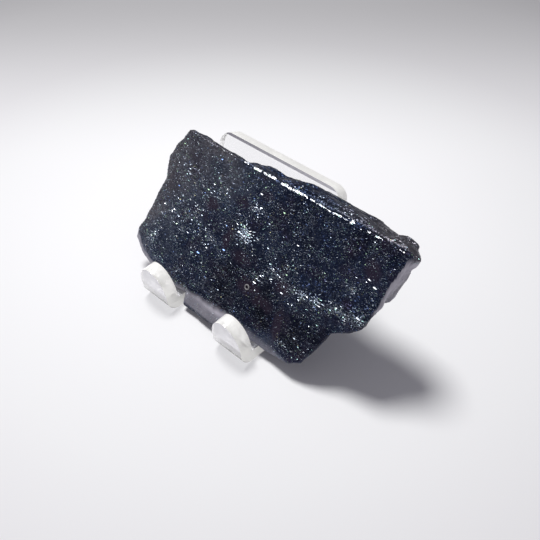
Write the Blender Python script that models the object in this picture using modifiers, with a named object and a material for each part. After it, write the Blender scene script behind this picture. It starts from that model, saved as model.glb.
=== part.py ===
"""A slab of specular hematite leaning in a small clear acrylic easel.

Two separate pieces. The slab is one natural stone, a split piece of schist whose layers lie parallel to
its broad faces. The easel is one strip of 3 mm acrylic sheet, cut and bent: two round-topped lips, two
ledges, a leaning plate, and a tongue cut from the middle of the plate and bent back as the rear leg.

World axes: X runs along the stand, Y to the back, Z up. Sizes are in metres; the slab's outlines are in
millimetres in the slab's own plane. While it is built, x = 0 is the stand's middle, y = 0 the front of
the lips and z = 0 the floor. At the end everything is moved so that the middle of its box stands at 0, 0.
"""
from math import cos, exp, hypot, pi, radians, sin, tan

import bmesh
import bpy
from mathutils import Matrix, Vector, noise

MM = 0.001
OBJECT_NAME = "specular_hematite_on_easel"
GAP = 0.3 * MM

# easel
SHEET = 3.0 * MM
PRONG_SPAN = 31.4 * MM
PRONG_WIDTH = 8.4 * MM
LIP_LENGTH = 10.7 * MM
LIP_ROUND = 6.2 * MM
LIP_LEAN = radians(6.7)
LIP_BEND = 2.0 * MM
LEDGE_DEPTH = 16.6 * MM
PLATE_LEAN = radians(19.2)
PLATE_WIDTH = 34.0 * MM
PLATE_LENGTH = 32.9 * MM
PLATE_CORNER = 3.0 * MM
PLATE_BEND = 3.0 * MM
WINDOW_TOP = 23.6 * MM
TONGUE_WIDTH = 13.6 * MM
TONGUE_SHEET = 2.9 * MM
TONGUE_BEND_AT = 21.6 * MM
TONGUE_BEND = 3.0 * MM
TONGUE_SPREAD = radians(42)
BEND_STEPS = 7
ROUND_STEPS = 20

# the cutters: how far they reach past the sheet and past the stand, and how high and deep the flanks are cut
PAST = 2 * SHEET
FAR = 10 * SHEET
FLANK_TOP = 1.2 * SHEET
FLANK_DEPTH = 4 * SHEET

# slab
SLAB_LEAN = radians(29)
SLAB_FOOT_Y = 3.1 * MM
SLAB_FOOT_Z = SHEET + GAP
FRONT_LAYER = (0.0, 1.9)
REAR_LAYER = (1.5, 7.6)
VOXEL = 0.5 * MM
SLAB_TRIANGLES = 7200

# outline of the front layer in its plane: along the stand, then up the slope
FRONT_OUTLINE = [
    (-18.7, 34.5), (-9.3, 34.2), (2.9, 34.0), (19.0, 33.8), (33.4, 33.9), (39.1, 33.8),
    (39.0, 31.1), (38.2, 27.5), (37.4, 23.8), (37.6, 22.3), (36.6, 19.3), (36.1, 16.9),
    (33.5, 14.4), (30.1, 12.1), (29.3, 9.7), (28.5, 7.5), (27.0, 4.9), (26.4, 3.1),
    (23.8, 1.3), (17.3, 0.3), (-11.2, 0.3), (-17.6, 1.4), (-22.6, 2.9), (-25.4, 5.4),
    (-25.3, 7.8), (-23.4, 14.0), (-22.2, 18.8), (-21.4, 22.3), (-22.8, 26.6), (-21.2, 30.6),
    (-19.7, 32.6)]

# outline of the rear layer, which rises above the front one and ends in a step at the lower right
REAR_OUTLINE = [
    (-19.6, 30.6), (-15.0, 31.0), (-12.0, 31.4), (-8.6, 31.8), (-6.6, 31.5), (-4.7, 32.9),
    (-2.6, 33.4), (0.3, 34.1), (4.8, 33.9), (9.6, 34.8), (14.1, 35.1), (22.1, 35.2),
    (26.7, 35.1), (30.7, 34.4), (32.6, 34.3), (34.8, 35.1), (37.5, 34.4), (40.2, 33.2),
    (39.3, 30.6), (38.4, 26.2), (37.4, 22.4), (35.4, 21.5), (32.6, 18.6), (29.0, 15.2),
    (26.9, 9.9), (23.4, 4.2), (12.0, 2.6), (-4.0, 2.0), (-16.4, 3.0), (-23.4, 7.2),
    (-22.2, 14.4), (-20.8, 20.7), (-21.2, 27.0)]

# facets broken off the back: a point on each (mm, slab frame) and the outward direction
REAR_FACETS = [
    ((38.5, 27.7, 4.9), (0.82, 0.0, 0.57)),
    ((-17.5, 17.7, 5.8), (-0.55, 0.1, 0.83)),
    ((-8.0, 31.3, 7.4), (-0.18, 0.62, 0.76)),
    ((31.0, 13.7, 5.2), (0.55, -0.5, 0.67)),
    ((8.0, 7.7, 7.2), (0.05, -0.42, 0.9))]

# the smooth bevel under the front face: a point on it (mm, slab frame) and its outward direction
FOOT_BEVEL = ((0.0, 2.5, 0.0), (-0.01, -0.42, -1.0))

# shallow chips in the front face: place, radius and depth (mm)
FRONT_CHIPS = [
    (-6.9, 22.6, 2.0, 0.35), (0.5, 26.1, 2.2, 0.3), (0.0, 18.0, 1.7, 0.3), (5.2, 15.8, 2.0, 0.3),
    (8.9, 11.0, 1.8, 0.35), (16.6, 14.9, 2.4, 0.4), (13.5, 9.7, 2.2, 0.35), (18.5, 7.4, 2.0, 0.3),
    (33.7, 27.6, 2.6, 0.3), (5.9, 29.9, 1.8, 0.25), (-14.5, 29.2, 2.2, 0.3), (-17.0, 10.7, 2.6, 0.3),
    (24.5, 28.7, 3.0, 0.25), (25.5, 11.5, 2.4, 0.35)]

# the sparkling bulge, and the arched crest with a slope below it
BULGE = (4.6, 20.7, 3.2, 0.55)
CREST = [(12.0, 17.9), (18.2, 16.2), (22.4, 16.3), (28.2, 17.6), (32.1, 18.0), (36.5, 18.6)]
CREST_HEIGHT = 0.7
CREST_SLOPE = 5.0
CREST_DROP = 1.6
CREST_START = 6.0
CREST_BACK = 3.0

# how far the front face falls away above the bevel and at the worn left end, and from where
FOOT_ROUNDING = 0.6
FOOT_EDGE = 2.2
FOOT_RADIUS = 2.4
LEFT_ROUNDING = 0.6
LEFT_END = -24.5
LEFT_RADIUS = 4.0

# relief of the faces and the broken sides: pairs of height and length of waves; it ends inside, at MIDDLE
MIDDLE = 3.4
FRONT_WAVES = [(0.45, 11.0), (0.22, 4.2)]
BACK_WAVES = [(0.5, 8.0), (0.3, 3.0)]
SIDE_WAVES = [(0.28, 3.2), (0.16, 1.5)]
# broad steps on the back, along a direction that wanders, and the ledges that layers leave on the sides
STEP_HEIGHT = 0.35
STEP_TURN = (0.45, 0.2)
STEP_WANDER = (3.0, 14.0)
BACK_DROP = 0.5
LAYER_HEIGHT = 0.12
LAYER_SPACING = 2.6
LAYER_WAVER = (0.8, 6.0)


def clear_scene():
    for old in list(bpy.data.objects):
        bpy.data.objects.remove(old, do_unlink=True)


def new_collection(name):
    made = bpy.data.collections.new(name)
    bpy.context.scene.collection.children.link(made)
    return made


def plain_material(name, colour, roughness, metallic=0.0, transmission=0.0):
    made = bpy.data.materials.new(name)
    made.use_nodes = True
    shader = made.node_tree.nodes["Principled BSDF"]
    shader.inputs["Base Color"].default_value = (*colour, 1.0)
    shader.inputs["Roughness"].default_value = roughness
    shader.inputs["Metallic"].default_value = metallic
    shader.inputs["Transmission Weight"].default_value = transmission
    return made


def extruded(name, outline, depth, frame, collection):
    """A closed outline, filled and extruded by depth to both sides of its plane, as a mesh at frame."""
    curve = bpy.data.curves.new(name, "CURVE")
    curve.dimensions = "2D"
    curve.fill_mode = "BOTH"
    curve.extrude = depth / 2
    spline = curve.splines.new("POLY")
    spline.points.add(len(outline) - 1)
    for point, (across, up) in zip(spline.points, outline):
        point.co = (across, up, 0.0, 1.0)
    spline.use_cyclic_u = True
    drawn = bpy.data.objects.new(name + "_curve", curve)
    collection.objects.link(drawn)
    bpy.context.view_layer.update()
    evaluated = drawn.evaluated_get(bpy.context.evaluated_depsgraph_get())
    mesh = bpy.data.meshes.new_from_object(evaluated)
    bpy.data.objects.remove(drawn, do_unlink=True)
    mesh.transform(frame)
    mesh.name = name
    bm = bmesh.new()
    bm.from_mesh(mesh)
    bmesh.ops.remove_doubles(bm, verts=bm.verts, dist=1e-6)
    bmesh.ops.recalc_face_normals(bm, faces=bm.faces)
    bm.to_mesh(mesh)
    bm.free()
    made = bpy.data.objects.new(name, mesh)
    collection.objects.link(made)
    return made


def as_cutter(cutter):
    cutter.hide_render = True
    cutter.display_type = "WIRE"
    return cutter


def boolean(target, other, operation):
    step = target.modifiers.new(other.name, "BOOLEAN")
    step.operation = operation
    step.solver = "EXACT"
    step.object = other


def side_frame(x=0.0):
    """A frame whose plane is the stand's side view: outline (y, z), extruded along X."""
    return Matrix(((0, 0, 1, x), (1, 0, 0, 0), (0, 1, 0, 0), (0, 0, 0, 1)))


def sheet_section(corners, bends, thickness):
    """The outline of a bent sheet from its middle line: corners (y, z) and the bend radius at each."""
    middle = []
    for index, corner in enumerate(corners):
        here = Vector(corner)
        if index in (0, len(corners) - 1):
            near = Vector(corners[1] if index == 0 else corners[-2])
            along = (near - here).normalized() * (1 if index == 0 else -1)
            middle.append((here, Vector((-along.y, along.x))))
            continue
        before = (here - Vector(corners[index - 1])).normalized()
        after = (Vector(corners[index + 1]) - here).normalized()
        turn = before.angle_signed(after)
        radius = bends[index]
        start = here - before * (radius * tan(abs(turn) / 2))
        side = 1 if turn < 0 else -1
        normal = Vector((-before.y, before.x))
        centre = start + normal * (radius * side)
        for step in range(BEND_STEPS + 1):
            spin = Matrix.Rotation(-turn * step / BEND_STEPS, 2)
            turned = spin @ normal
            middle.append((centre - turned * (radius * side), turned))
    half = thickness / 2
    left = [point + normal * half for point, normal in middle]
    right = [point - normal * half for point, normal in middle]
    return [tuple(point) for point in left + right[::-1]]


def plate_point(up, behind=0.0):
    """A point (y, z) up the plate's front face from the floor line, and behind it through the sheet."""
    return (LEDGE_DEPTH + up * sin(PLATE_LEAN) + behind * cos(PLATE_LEAN),
            up * cos(PLATE_LEAN) - behind * sin(PLATE_LEAN))


def lip_point(up, behind=0.0):
    return (-up * sin(LIP_LEAN) + behind * cos(LIP_LEAN), up * cos(LIP_LEAN) + behind * sin(LIP_LEAN))


def main_section():
    """Lip, ledge and plate in one bent line, whose ledge lies flat on the floor."""
    half = SHEET / 2
    lip_foot = (half - half * sin(LIP_LEAN)) / cos(LIP_LEAN)
    plate_foot = (half + half * sin(PLATE_LEAN)) / cos(PLATE_LEAN)
    corners = [lip_point(LIP_LENGTH, half), lip_point(lip_foot, half),
               plate_point(plate_foot, half), plate_point(PLATE_LENGTH, half)]
    return sheet_section(corners, [0, LIP_BEND, PLATE_BEND, 0], SHEET)


def tongue_section():
    """The tongue leaves the plate at the window and runs back and down past the floor.

    Stretched by its bend, it is a little thinner than the sheet.
    """
    half = SHEET / 2
    bend = Vector(plate_point(TONGUE_BEND_AT, half))
    reach = (bend.y + SHEET) / cos(TONGUE_SPREAD)
    foot = bend + Vector((sin(TONGUE_SPREAD), -cos(TONGUE_SPREAD))) * reach
    root = plate_point(WINDOW_TOP + SHEET, half)
    return sheet_section([root, tuple(bend), tuple(foot)], [0, TONGUE_BEND, 0], TONGUE_SHEET)


def arc(across, up, wide, tall, start, end):
    """Points on an oval arc, of half widths wide and tall."""
    turns = [start + (end - start) * step / ROUND_STEPS for step in range(ROUND_STEPS + 1)]
    return [(across + wide * cos(turn), up + tall * sin(turn)) for turn in turns]


def leaning_frame(origin, up):
    """A frame whose plane is a leaning face: its first axis is X, its second runs up the face."""
    return Matrix(((1, 0, 0, 0), (0, up[0], up[1], origin[0]), (0, up[1], -up[0], origin[1]), (0, 0, 0, 1)))


def easel(collection, cutters):
    sheet = extruded("easel", main_section(), PLATE_WIDTH, side_frame(), collection)
    window = [(-PAST, -PAST), (FAR, -PAST), plate_point(WINDOW_TOP, PAST), plate_point(WINDOW_TOP, -FAR / 3),
              (-PAST, FAR / 2)]
    gap_width = PRONG_SPAN - 2 * PRONG_WIDTH
    boolean(sheet, as_cutter(extruded("window_cut", window, gap_width, side_frame(), cutters)), "DIFFERENCE")

    flank = [(-PAST, -PAST), (FAR, -PAST), (FAR, FLANK_TOP), (FLANK_DEPTH, FLANK_TOP),
             (FLANK_DEPTH, FAR / 2), (-PAST, FAR / 2)]
    lip_frame = leaning_frame((0, 0), (-sin(LIP_LEAN), cos(LIP_LEAN)))
    plate_frame = leaning_frame((LEDGE_DEPTH, 0), (sin(PLATE_LEAN), cos(PLATE_LEAN)))
    shoulder = PLATE_LENGTH - PLATE_CORNER
    for side, word in ((-1, "left"), (1, "right")):
        beside = side_frame(side * (PRONG_SPAN + PAST) / 2)
        boolean(sheet, as_cutter(extruded(word + "_flank_cut", flank, PAST, beside, cutters)), "DIFFERENCE")

        middle = side * (PRONG_SPAN - PRONG_WIDTH) / 2
        radius = PRONG_WIDTH / 2
        beyond = radius + SHEET / 2
        round_from = LIP_LENGTH - LIP_ROUND
        lip_round = [(middle - beyond, round_from)] + arc(middle, round_from, radius, LIP_ROUND, pi, 0)
        lip_round += [(middle + beyond, round_from), (middle + beyond, LIP_LENGTH + SHEET),
                      (middle - beyond, LIP_LENGTH + SHEET)]
        boolean(sheet, as_cutter(extruded(word + "_lip_round", lip_round, 2 * PAST, lip_frame, cutters)),
                "DIFFERENCE")

        corner_x = side * (PLATE_WIDTH / 2 - PLATE_CORNER)
        corner = arc(corner_x, shoulder, PLATE_CORNER, PLATE_CORNER, pi / 2, 0 if side > 0 else pi)
        corner += [(side * PLATE_WIDTH, shoulder), (side * PLATE_WIDTH, PLATE_LENGTH + SHEET),
                   (corner_x, PLATE_LENGTH + SHEET)]
        boolean(sheet, as_cutter(extruded(word + "_corner_round", corner, 2 * PAST, plate_frame, cutters)),
                "DIFFERENCE")

    tongue = as_cutter(extruded("tongue", tongue_section(), TONGUE_WIDTH, side_frame(), cutters))
    boolean(sheet, tongue, "UNION")
    below = [(-FAR, -FAR), (3 * FAR, -FAR), (3 * FAR, 0), (-FAR, 0)]
    floor = as_cutter(extruded("floor_cut", below, 2 * PLATE_WIDTH, side_frame(), cutters))
    boolean(sheet, floor, "DIFFERENCE")
    sheet.data.materials.append(
        plain_material("clear_acrylic", (0.92, 0.93, 0.94), 0.04, transmission=0.9))
    return sheet


def slab_frame():
    """From the slab's own frame (along, up the slope, depth) to the stand's. It mirrors."""
    up = Vector((0, sin(SLAB_LEAN), cos(SLAB_LEAN)))
    depth = Vector((0, cos(SLAB_LEAN), -sin(SLAB_LEAN)))
    along = Vector((1, 0, 0))
    frame = Matrix((along, up, depth)).transposed().to_4x4()
    frame.translation = (0, SLAB_FOOT_Y, SLAB_FOOT_Z)
    return frame


def layer(name, outline, depths, collection):
    """One split layer of the stone, in its own frame, in metres."""
    front, back = depths
    raised = Matrix.Translation((0, 0, (front + back) / 2 * MM))
    points = [(across * MM, up * MM) for across, up in outline]
    return extruded(name, points, (back - front) * MM, raised, collection)


def cleave(mesh, point, outward):
    """Breaks off what lies beyond a plane and closes the cut."""
    bm = bmesh.new()
    bm.from_mesh(mesh)
    everything = bm.verts[:] + bm.edges[:] + bm.faces[:]
    cut = bmesh.ops.bisect_plane(bm, geom=everything, plane_co=Vector(point), plane_no=Vector(outward),
                                 clear_outer=True)
    rim = [item for item in cut["geom_cut"] if isinstance(item, bmesh.types.BMEdge)]
    bmesh.ops.edgeloop_fill(bm, edges=rim)
    bmesh.ops.recalc_face_normals(bm, faces=bm.faces)
    bm.to_mesh(mesh)
    bm.free()


def evaluated_copy(source, name):
    bpy.context.view_layer.update()
    evaluated = source.evaluated_get(bpy.context.evaluated_depsgraph_get())
    made = bpy.data.meshes.new_from_object(evaluated)
    made.name = name
    return made


def bump(distance, radius):
    return exp(-(distance / radius) ** 2)


def waves(place, sizes):
    """A rise and fall of smooth noise, from pairs of height and length."""
    return sum(height * noise.noise(place / length) for height, length in sizes)


def crest_line(across):
    for (x0, y0), (x1, y1) in zip(CREST, CREST[1:]):
        if x0 <= across <= x1:
            return y0 + (y1 - y0) * (across - x0) / (x1 - x0)
    return CREST[-1][1]


def crest_relief(across, up):
    """A crest that arches across the lower right: full height above its line, sloping away below it."""
    if across < CREST[0][0]:
        return 0.0
    height = CREST_HEIGHT * min(1.0, (across - CREST[0][0]) / CREST_START)
    below = crest_line(across) - up
    if below < 0:
        return height * bump(below, CREST_BACK)
    return height * (1 - CREST_DROP * min(1.0, below / CREST_SLOPE))


def front_relief(across, up):
    """Height of the front face above its plane, in millimetres."""
    height = waves(Vector((across, up, 0)), FRONT_WAVES) + crest_relief(across, up)
    height += BULGE[3] * bump(hypot(across - BULGE[0], up - BULGE[1]), BULGE[2])
    for x, y, radius, depth in FRONT_CHIPS:
        height -= depth * bump(hypot(across - x, up - y), radius)
    height -= FOOT_ROUNDING * bump(max(0.0, up - FOOT_EDGE), FOOT_RADIUS)
    height -= LEFT_ROUNDING * bump(max(0.0, across - LEFT_END), LEFT_RADIUS)
    return height


def back_relief(across, up):
    """Height of the back above its plane: rougher than the front, with broad steps between layers."""
    place = Vector((across, up, REAR_LAYER[1]))
    wander = STEP_WANDER[0] * noise.noise(place / STEP_WANDER[1])
    steps = STEP_HEIGHT * sin(STEP_TURN[0] * across + STEP_TURN[1] * up + wander)
    return steps + waves(place, BACK_WAVES) - BACK_DROP


def edge_relief(across, up, depth):
    """The broken sides show the stone's layers as faint ledges parallel to the faces."""
    waver = LAYER_WAVER[0] * noise.noise(Vector((across, up, 0)) / LAYER_WAVER[1])
    ledges = LAYER_HEIGHT * sin(2 * pi * (depth + waver) / LAYER_SPACING)
    return ledges + waves(Vector((across, up, 2 * depth)), SIDE_WAVES)


def weather(mesh):
    """Gives the even block its relief: the faces rise and fall in depth, the sides move outwards."""
    moved = []
    for vert in mesh.vertices:
        across, up, depth = vert.co / MM
        near_front = max(0.0, 1 - depth / MIDDLE)
        near_back = max(0.0, (depth - MIDDLE) / (REAR_LAYER[1] - MIDDLE))
        shift = near_back * back_relief(across, up) - near_front * front_relief(across, up)
        outward = Vector((vert.normal.x, vert.normal.y, 0)) * edge_relief(across, up, depth)
        moved.append(vert.co + (outward + Vector((0, 0, shift))) * MM)
    for vert, place in zip(mesh.vertices, moved):
        vert.co = place


def clear_of_easel(place):
    """Keeps a point of the slab just above the ledges and just in front of the plate."""
    resting = Vector((place.x, place.y, max(place.z, SLAB_FOOT_Z)))
    away = Vector((0, cos(PLATE_LEAN), -sin(PLATE_LEAN)))
    reach = (resting - Vector((0, LEDGE_DEPTH, 0))).dot(away)
    if reach > -GAP:
        resting -= away * (reach + GAP)
    return resting


def slab(collection, cutters):
    rough = layer("front_layer", FRONT_OUTLINE, FRONT_LAYER, cutters)
    rear = as_cutter(layer("rear_layer", REAR_OUTLINE, REAR_LAYER, cutters))
    boolean(as_cutter(rough), rear, "UNION")
    block = evaluated_copy(rough, "slab_block")
    for point, outward in REAR_FACETS + [FOOT_BEVEL]:
        cleave(block, Vector(point) * MM, outward)
    to_stand = slab_frame()
    under = to_stand.inverted() @ Vector((0, SLAB_FOOT_Y, SLAB_FOOT_Z))
    down = to_stand.inverted().to_3x3() @ Vector((0, 0, -1))
    cleave(block, under, down)

    draft = bpy.data.objects.new("slab_draft", block)
    cutters.objects.link(as_cutter(draft))
    fine = draft.modifiers.new("even_mesh", "REMESH")
    fine.mode = "VOXEL"
    fine.voxel_size = VOXEL
    soften = draft.modifiers.new("soften", "SMOOTH")
    soften.iterations = 2
    surface = evaluated_copy(draft, "slab_surface")
    weather(surface)
    for vert in surface.vertices:
        vert.co = clear_of_easel(to_stand @ vert.co)
    surface.flip_normals()

    stone = bpy.data.objects.new("hematite_slab", surface)
    collection.objects.link(stone)
    triangles = sum(len(face.vertices) - 2 for face in surface.polygons)
    thin = stone.modifiers.new("fewer_faces", "DECIMATE")
    thin.ratio = SLAB_TRIANGLES / triangles
    thin.use_collapse_triangulate = True
    surface.materials.clear()
    surface.materials.append(plain_material("specular_hematite", (0.035, 0.042, 0.06), 0.4, 0.6))
    return stone


def stand_on_origin(pieces, cutters):
    """Moves the pieces, and their cutters with them, so that the middle of their box is at the origin."""
    corners = []
    bpy.context.view_layer.update()
    graph = bpy.context.evaluated_depsgraph_get()
    for piece in pieces:
        mesh = piece.evaluated_get(graph).to_mesh()
        corners += [vert.co.copy() for vert in mesh.vertices]
    low = Vector([min(corner[axis] for corner in corners) for axis in range(3)])
    high = Vector([max(corner[axis] for corner in corners) for axis in range(3)])
    base = bpy.data.objects.new(OBJECT_NAME, None)
    bpy.context.scene.collection.objects.link(base)
    for moved in list(pieces) + list(cutters):
        moved.parent = base
    base.location = (-(low.x + high.x) / 2, -(low.y + high.y) / 2, -low.z)
    print("moved by", [round(value / MM, 3) for value in base.location],
          "box", [round(value / MM, 2) for value in (high - low)])


def main():
    clear_scene()
    pieces = new_collection(OBJECT_NAME)
    cutters = new_collection("cutters")
    slab(pieces, cutters)
    easel(pieces, cutters)
    stand_on_origin(pieces.objects, cutters.objects)


main()
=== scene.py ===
"""The looks of a specular hematite slab on a small clear acrylic easel.

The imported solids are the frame: metres, X along the stand, Y to the back, Z up. The slab's own frame is
(along, up, depth) in millimetres: along the stand, up the leaning front face, and back into the stone.
"""
from contextlib import contextmanager
from math import cos, exp, hypot, pi, radians, sin, tan

import bmesh
import bpy
from mathutils import Matrix, Vector, noise


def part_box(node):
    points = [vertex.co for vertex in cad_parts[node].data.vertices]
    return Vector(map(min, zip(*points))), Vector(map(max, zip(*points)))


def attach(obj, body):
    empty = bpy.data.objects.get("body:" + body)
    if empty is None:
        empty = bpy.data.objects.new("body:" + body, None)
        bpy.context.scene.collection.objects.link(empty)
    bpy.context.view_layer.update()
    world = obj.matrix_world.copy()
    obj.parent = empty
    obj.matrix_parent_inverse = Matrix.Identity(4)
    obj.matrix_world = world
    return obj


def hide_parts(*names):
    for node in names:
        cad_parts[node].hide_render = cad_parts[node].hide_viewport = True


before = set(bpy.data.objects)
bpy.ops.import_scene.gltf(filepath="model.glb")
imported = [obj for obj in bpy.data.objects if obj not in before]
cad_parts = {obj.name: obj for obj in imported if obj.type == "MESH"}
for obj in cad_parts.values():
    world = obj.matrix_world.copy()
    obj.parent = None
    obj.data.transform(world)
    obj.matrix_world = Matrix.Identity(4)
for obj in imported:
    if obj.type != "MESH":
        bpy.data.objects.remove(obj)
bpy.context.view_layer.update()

MM = 0.001
BODY = "root"

# easel, as the solids have it
SHEET = 3.0
PRONG_SPAN = 31.4
PRONG_WIDTH = 8.4
LIP_LENGTH = 10.7
LIP_ROUND = 6.2
LIP_LEAN = radians(6.7)
LIP_BEND = 2.0
LEDGE_DEPTH = 16.6
PLATE_LEAN = radians(19.2)
PLATE_WIDTH = 34.0
PLATE_LENGTH = 32.9
PLATE_CORNER = 3.0
PLATE_BEND = 3.0
WINDOW_TOP = 23.6
TONGUE_WIDTH = 13.6
TONGUE_BEND_AT = 21.6
TONGUE_BEND = 3.0
TONGUE_SPREAD = radians(42)

# the stand's middle, the front of its lips and the floor, in the frame
easel_low, easel_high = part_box("easel")
STAND_X = (easel_low[0] + easel_high[0]) / 2
STAND_Y = easel_low[1] + LIP_LENGTH * MM * sin(LIP_LEAN)
STAND = Vector((STAND_X, STAND_Y, 0.0))

# slab
GAP = 0.3
SLAB_LEAN = radians(29)
SLAB_FOOT = (0.0, 3.1, SHEET + GAP)
# where the two layers begin and end in depth
FRONT_LAYER = (0.0, 1.9)
REAR_LAYER = (1.5, 7.6)
# the step of the even mesh, and what the left end gets back of what smoothing takes off
VOXEL = 0.26
REGAINED = 0.3

# the layers' outlines; the rear one's right end is drawn about 1 mm inside the solid's
FRONT_OUTLINE = [
    (-18.7, 34.5), (-9.3, 34.2), (2.9, 34.0), (19.0, 33.8), (33.4, 33.9), (39.1, 33.8),
    (39.0, 31.1), (38.2, 27.5), (37.4, 23.8), (37.6, 22.3), (36.6, 19.3), (36.1, 16.9),
    (33.5, 14.4), (30.1, 12.1), (29.3, 9.7), (28.5, 7.5), (27.0, 4.9), (26.4, 3.1),
    (23.8, 1.3), (17.3, 0.3), (-11.2, 0.3), (-17.6, 1.4), (-22.6, 2.9), (-25.4, 5.4),
    (-25.3, 7.8), (-23.4, 14.0), (-22.2, 18.8), (-21.4, 22.3), (-22.8, 26.6), (-21.2, 30.6),
    (-19.7, 32.6)]
REAR_OUTLINE = [
    (-19.6, 30.6), (-15.0, 31.0), (-12.0, 31.4), (-8.6, 31.8), (-6.6, 31.5), (-4.7, 32.9),
    (-2.6, 33.4), (0.3, 34.1), (4.8, 33.9), (9.6, 34.8), (14.1, 35.1), (22.1, 35.2),
    (26.7, 35.1), (30.7, 34.4), (32.6, 34.3), (34.8, 35.1), (37.5, 34.4), (40.2, 33.2),
    (38.9, 30.6), (37.5, 26.2), (36.5, 22.4), (35.0, 21.5), (32.6, 18.6), (29.0, 15.2),
    (26.9, 9.9), (23.4, 4.2), (12.0, 2.6), (-4.0, 2.0), (-16.4, 3.0), (-23.4, 7.2),
    (-22.2, 14.4), (-20.8, 20.7), (-21.2, 27.0)]
# what is broken off at the back: a point on each break and its outward direction
REAR_FACETS = [
    ((38.5, 27.7, 4.9), (0.82, 0.0, 0.57)),
    ((-17.5, 17.7, 5.8), (-0.55, 0.1, 0.83)),
    ((-8.0, 31.3, 7.4), (-0.18, 0.62, 0.76)),
    ((31.0, 13.7, 5.2), (0.55, -0.5, 0.67)),
    ((8.0, 7.7, 7.2), (0.05, -0.42, 0.9))]
# hollows on the front: across, up, radius, depth
FRONT_CHIPS = [
    (-6.9, 22.6, 2.0, 0.35), (0.5, 26.1, 2.2, 0.3), (0.0, 18.0, 1.7, 0.3), (5.2, 15.8, 2.0, 0.3),
    (8.9, 11.0, 1.8, 0.35), (16.6, 14.9, 2.4, 0.4), (13.5, 9.7, 2.2, 0.35), (18.5, 7.4, 2.0, 0.3),
    (33.7, 27.6, 2.6, 0.3), (5.9, 29.9, 1.8, 0.25), (-14.5, 29.2, 2.2, 0.3), (-17.0, 10.7, 2.6, 0.3),
    (24.5, 28.7, 3.0, 0.25), (25.5, 11.5, 2.4, 0.35)]
# the bulge on the front: across, up, radius, height
BULGE = (4.6, 20.7, 3.2, 0.55)
# the crest's line, its height, the slope and the drop below it, where it starts, and how it fades above
CREST = [(12.0, 17.9), (18.2, 16.2), (22.4, 16.3), (28.2, 17.6), (32.1, 18.0), (36.5, 18.6)]
CREST_HEIGHT = 0.7
CREST_SLOPE = 5.0
CREST_DROP = 1.6
CREST_START = 6.0
CREST_BACK = 3.0
# how the foot and the left end round off: how much, from where, over what radius
FOOT_ROUNDING = 0.6
FOOT_EDGE = 2.2
FOOT_RADIUS = 2.4
LEFT_ROUNDING = 0.6
LEFT_END = -24.5
LEFT_RADIUS = 4.0

# relief of the faces and the broken sides: pairs of height and length of waves; it ends inside, at MIDDLE
MIDDLE = 3.4
FRONT_WAVES = [(0.45, 11.0), (0.22, 4.2)]
BACK_WAVES = [(0.5, 8.0), (0.3, 3.0)]
SIDE_WAVES = [(0.28, 3.2), (0.16, 1.5)]
# broad steps on the back, along a direction that wanders, and the ledges that layers leave on the sides
STEP_HEIGHT = 0.35
STEP_TURN = (0.45, 0.2)
STEP_WANDER = (3.0, 14.0)
BACK_DROP = 0.5
LAYER_HEIGHT = 0.12
LAYER_SPACING = 2.6
LAYER_WAVER = (0.8, 6.0)

# dull patches on the front: across, up, half width, half height, strength
MATT_PATCHES = [
    (-6.9, 22.6, 1.9, 1.5, 1.0), (0.5, 26.1, 2.0, 1.2, 0.8), (0.0, 18.0, 1.1, 2.4, 0.9),
    (5.2, 15.8, 2.2, 1.2, 0.8), (8.9, 11.0, 2.4, 1.7, 0.9), (16.6, 14.9, 2.3, 1.5, 0.95),
    (13.5, 9.7, 2.2, 1.4, 0.85), (18.5, 7.4, 1.3, 3.0, 0.9), (33.7, 27.6, 1.8, 2.4, 0.8),
    (5.9, 29.9, 1.6, 1.0, 0.7), (-14.5, 30.2, 2.6, 1.6, 0.5), (-19.0, 23.2, 1.4, 1.8, 0.6)]
# their ragged edge: its waves' height and length, and its weight; how dull they get, and where they fade
MATT_WOBBLE = (1.5, 1.6, 0.35)
MATT_DEEPEST = 0.85
MATT_FADE = (0.5, 1.65)
# where the plates lean to the light: across, up, half width, half height, strength
BRIGHT_FIELDS = [
    (4.6, 20.7, 2.0, 1.5, 0.9), (-9.0, 25.7, 5.0, 2.0, 0.35), (-12.0, 16.7, 6.0, 3.5, 0.3),
    (-4.5, 16.2, 3.0, 1.5, 0.4), (10.6, 13.8, 1.2, 1.2, 0.9), (-20.0, 8.2, 1.0, 2.0, 0.7),
    (31.0, 22.7, 1.2, 0.6, 1.2), (36.0, 22.3, 0.8, 0.8, 1.2),
    (22.0, 4.1, 1.6, 0.9, 1.2), (4.5, 26.5, 1.6, 1.0, 0.6)]
# the bright band under the crest: strength, how far below the crest's line, half width
CREST_BRIGHT = (0.9, 0.6, 1.1)
# the plates that stand out most on the face: across, up, length, and the tint's place in the plates' tints
BLUE_FLASH, GREEN_FLASH, YELLOW_FLASH, PALE_FLASH = 0.975, 0.985, 0.995, 0.9
FLASHES = [
    (-8.1, 32.0, 0.5, BLUE_FLASH), (0.3, 15.1, 0.7, BLUE_FLASH), (-6.1, 11.2, 0.8, BLUE_FLASH),
    (11.2, 28.8, 0.5, GREEN_FLASH), (-8.9, 24.8, 0.5, GREEN_FLASH), (-19.3, 31.0, 0.4, YELLOW_FLASH),
    (35.3, 25.1, 0.9, PALE_FLASH), (33.6, 25.9, 0.6, PALE_FLASH), (35.0, 18.5, 1.0, PALE_FLASH),
    (4.5, 29.8, 0.6, PALE_FLASH), (10.2, 12.6, 0.8, PALE_FLASH), (16.9, 24.5, 0.5, PALE_FLASH)]
# how far they may slant, and how wide they are for their length
FLASH_SLANT = 0.5
FLASH_SLIM = 0.3
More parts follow.
